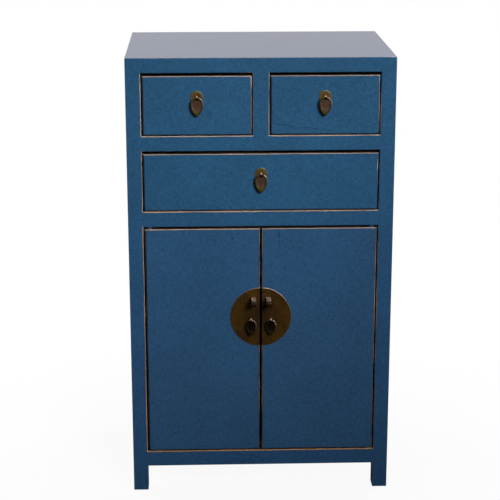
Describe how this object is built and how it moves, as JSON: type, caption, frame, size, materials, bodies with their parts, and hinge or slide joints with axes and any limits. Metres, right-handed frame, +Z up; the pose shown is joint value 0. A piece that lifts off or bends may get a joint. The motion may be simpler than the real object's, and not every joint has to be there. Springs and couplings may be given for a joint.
{
  "type": "cabinet",
  "caption": "Blue-painted wooden cabinet: small drawers over a long drawer over paired doors, with rubbed edges, brass drop pulls and a round split lock plate.",
  "frame": {"origin": "on the floor, in the middle of the footprint from the front of the lock loops to the back of the cabinet", "axes": "+X to the right seen from the front, +Y to the back, +Z up; the doors and drawers face -Y"},
  "size_m": [0.555, 0.434, 0.95],
  "materials": {
    "blue_lacquer": "satin blue paint over a fine woven ground, rubbed through to tan wood on the arrises",
    "bare_wood": "plain unpainted wood",
    "aged_brass": "dark aged brass"
  },
  "bodies": {
    "carcass": {"back_panel": "blue_lacquer", "back_rails": "bare_wood", "door_stops": "bare_wood", "drawer_divider": "blue_lacquer", "drawer_runners": "bare_wood", "dust_board": "bare_wood", "floor_panel": "bare_wood", "post_back_left": "blue_lacquer", "post_back_right": "blue_lacquer", "post_front_left": "blue_lacquer", "post_front_right": "blue_lacquer", "rail_bottom": "blue_lacquer", "rail_middle": "blue_lacquer", "rail_upper": "blue_lacquer", "shelf": "bare_wood", "shelf_bearers": "bare_wood", "side_panels": "blue_lacquer", "side_rails": "blue_lacquer", "top_batten": "bare_wood", "top_frame_back": "blue_lacquer", "top_frame_ends": "blue_lacquer", "top_frame_front": "blue_lacquer", "top_panel": "blue_lacquer"},
    "drawer_left": {"drawer_left_back": "bare_wood", "drawer_left_backplate": "aged_brass", "drawer_left_bottom": "bare_wood", "drawer_left_front": "blue_lacquer", "drawer_left_pull_pin": "aged_brass", "drawer_left_sides": "bare_wood"},
    "drawer_left_pull": {"drawer_left_pull_drop": "aged_brass"},
    "drawer_right": {"drawer_right_back": "bare_wood", "drawer_right_backplate": "aged_brass", "drawer_right_bottom": "bare_wood", "drawer_right_front": "blue_lacquer", "drawer_right_pull_pin": "aged_brass", "drawer_right_sides": "bare_wood"},
    "drawer_right_pull": {"drawer_right_pull_drop": "aged_brass"},
    "drawer_long": {"drawer_long_back": "bare_wood", "drawer_long_backplate": "aged_brass", "drawer_long_bottom": "bare_wood", "drawer_long_front": "blue_lacquer", "drawer_long_pull_pin": "aged_brass", "drawer_long_sides": "bare_wood"},
    "drawer_long_pull": {"drawer_long_pull_drop": "aged_brass"},
    "door_left": {"door_left_hinge_stile": "blue_lacquer", "door_left_lock_loop": "aged_brass", "door_left_meeting_stile": "blue_lacquer", "door_left_panel": "blue_lacquer", "door_left_plate": "aged_brass", "door_left_pull_pin": "aged_brass", "door_left_rails": "blue_lacquer"},
    "door_left_pull": {"door_left_pull_drop": "aged_brass"},
    "door_right": {"door_right_hinge_stile": "blue_lacquer", "door_right_lock_loop": "aged_brass", "door_right_meeting_stile": "blue_lacquer", "door_right_panel": "blue_lacquer", "door_right_plate": "aged_brass", "door_right_pull_pin": "aged_brass", "door_right_rails": "blue_lacquer"},
    "door_right_pull": {"door_right_pull_drop": "aged_brass"}
  },
  "joints": [
    {"name": "door_left_hinge", "type": "hinge", "parent": "carcass", "child": "door_left", "pos_m": [-0.233, -0.176, 0.343], "axis": [0, 0, -1], "range_deg": [0, 110]},
    {"name": "door_right_hinge", "type": "hinge", "parent": "carcass", "child": "door_right", "pos_m": [0.233, -0.176, 0.343], "axis": [0, 0, 1], "range_deg": [0, 110]},
    {"name": "drawer_left_slide", "type": "slide", "parent": "carcass", "child": "drawer_left", "axis": [0, -1, 0], "range_m": [0, 0.25]},
    {"name": "drawer_right_slide", "type": "slide", "parent": "carcass", "child": "drawer_right", "axis": [0, -1, 0], "range_m": [0, 0.25]},
    {"name": "drawer_long_slide", "type": "slide", "parent": "carcass", "child": "drawer_long", "axis": [0, -1, 0], "range_m": [0, 0.25]},
    {"name": "drawer_left_pull_swing", "type": "hinge", "parent": "drawer_left", "child": "drawer_left_pull", "pos_m": [-0.1315, -0.1902, 0.8686], "axis": [-1, 0, 0], "range_deg": [0, 120]},
    {"name": "drawer_right_pull_swing", "type": "hinge", "parent": "drawer_right", "child": "drawer_right_pull", "pos_m": [0.1315, -0.1902, 0.8686], "axis": [-1, 0, 0], "range_deg": [0, 120]},
    {"name": "drawer_long_pull_swing", "type": "hinge", "parent": "drawer_long", "child": "drawer_long_pull", "pos_m": [0, -0.1902, 0.7076], "axis": [-1, 0, 0], "range_deg": [0, 120]},
    {"name": "door_left_pull_swing", "type": "hinge", "parent": "door_left", "child": "door_left_pull", "pos_m": [-0.021, -0.1906, 0.3906], "axis": [-1, 0, 0], "range_deg": [0, 120]},
    {"name": "door_right_pull_swing", "type": "hinge", "parent": "door_right", "child": "door_right_pull", "pos_m": [0.021, -0.1906, 0.3906], "axis": [-1, 0, 0], "range_deg": [0, 120]}
  ]
}
